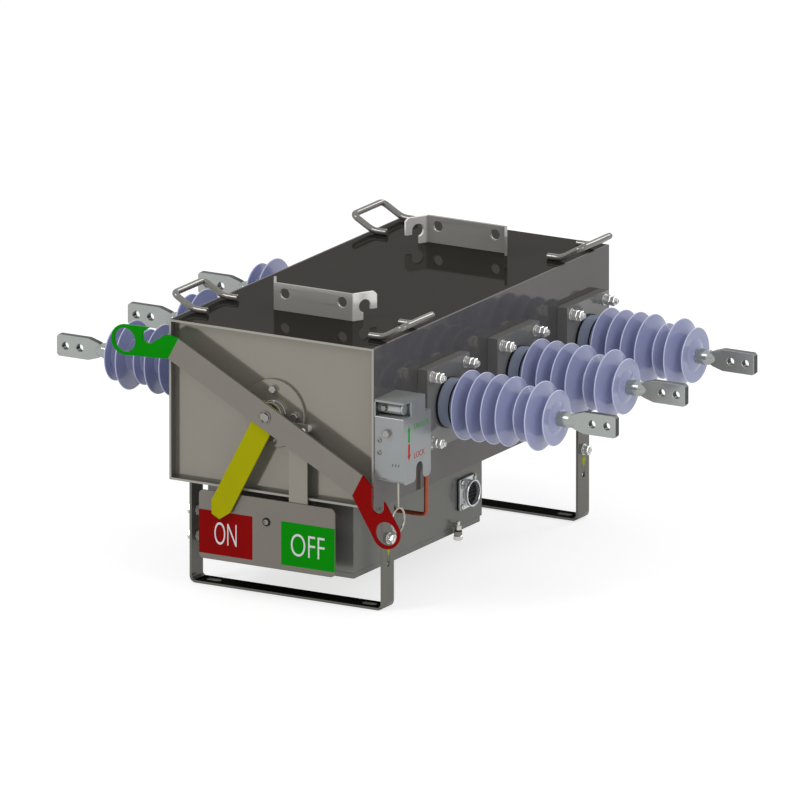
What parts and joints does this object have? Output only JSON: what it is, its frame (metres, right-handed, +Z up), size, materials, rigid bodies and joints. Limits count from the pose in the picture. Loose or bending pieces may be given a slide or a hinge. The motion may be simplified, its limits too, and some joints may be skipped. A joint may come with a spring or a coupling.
{
  "type": "gas insulated load switch",
  "caption": "Outdoor three-phase load switch: sealed steel tank with shedded bushings, hook lever with pointer, lock, mechanism box and feet.",
  "frame": {"origin": "centre of the four foot slots, on the ground under the feet", "axes": "+X to the right seen from the lever's end, +Y to the rear end, +Z up"},
  "size_m": [1.15, 0.868, 0.545],
  "materials": {
    "folded_steel": "brushed stainless sheet",
    "panel_steel": "satin stainless sheet",
    "flange_steel": "machined stainless plate",
    "lever_steel": "satin stainless bar",
    "rod_steel": "polished stainless rod",
    "zinc_sheet": "galvanised sheet",
    "fastener_steel": "bright stainless",
    "shaft_steel": "ground steel",
    "tinned_copper": "bright tin plate",
    "contact_copper": "bare copper",
    "bronze": "plain bearing bronze",
    "pipe_copper": "drawn copper tube",
    "valve_metal": "nickel plate",
    "silicone": "smooth silicone rubber",
    "black_rubber": "matte",
    "red_paint": "gloss",
    "green_paint": "gloss",
    "yellow_paint": "gloss",
    "resin": "cast resin",
    "black_plastic": "moulded",
    "switch_metal": "cast"
  },
  "bodies": {
    "switch_body": {"box_tray": "folded_steel", "bracket_front": "panel_steel", "bracket_rear": "panel_steel", "bushing_flanges": "flange_steel", "bushing_gaskets": "black_rubber", "bushing_left_1": "silicone", "bushing_left_2": "silicone", "bushing_left_3": "silicone", "bushing_right_1": "silicone", "bushing_right_2": "silicone", "bushing_right_3": "silicone", "cover_bolts": "fastener_steel", "fixed_contacts": "contact_copper", "flange_nuts": "fastener_steel", "flange_studs": "fastener_steel", "foot_front": "folded_steel", "foot_rear": "folded_steel", "front_panel": "panel_steel", "gas_pipe": "pipe_copper", "gas_valve": "valve_metal", "gas_valve_cap": "valve_metal", "leg_bolts": "fastener_steel", "lifting_handles": "rod_steel", "lock_bar": "rod_steel", "lock_guide": "zinc_sheet", "lock_housing": "zinc_sheet", "lock_screws": "fastener_steel", "mechanism_box": "folded_steel", "pipe_grommet": "black_rubber", "pressure_switch": "switch_metal", "rear_panel": "panel_steel", "seal_cover": "panel_steel", "shaft_bearings": "bronze", "shaft_seal": "black_rubber", "sign_board": "panel_steel", "sign_screws": "fastener_steel", "sign_spacers": "fastener_steel", "sign_strap": "panel_steel", "socket_gasket": "black_rubber", "socket_insert": "black_plastic", "socket_screws": "fastener_steel", "socket_shell": "fastener_steel", "tank_shell": "folded_steel", "terminal_left_1": "tinned_copper", "terminal_left_2": "tinned_copper", "terminal_left_3": "tinned_copper", "terminal_right_1": "tinned_copper", "terminal_right_2": "tinned_copper", "terminal_right_3": "tinned_copper", "top_plate": "folded_steel"},
    "lever_and_contacts": {"lever_bar": "lever_steel", "hook_red": "red_paint", "hook_green": "green_paint", "position_pointer": "yellow_paint", "lever_retainer": "fastener_steel", "main_shaft": "shaft_steel", "contact_rotor": "resin", "moving_blades": "contact_copper"},
    "lock_slide_and_ring": {"lock_slide": "zinc_sheet", "lock_pull": "rod_steel"}
  },
  "joints": [
    {"name": "lever_turn", "type": "hinge", "parent": "switch_body", "child": "lever_and_contacts", "pos_m": [0, -0.44, 0.3475], "axis": [0, -1, 0], "range_deg": [0, 56]},
    {"name": "lock_slide_down", "type": "slide", "parent": "switch_body", "child": "lock_slide_and_ring", "axis": [0, 0, -1], "range_m": [0, 0.02]}
  ]
}
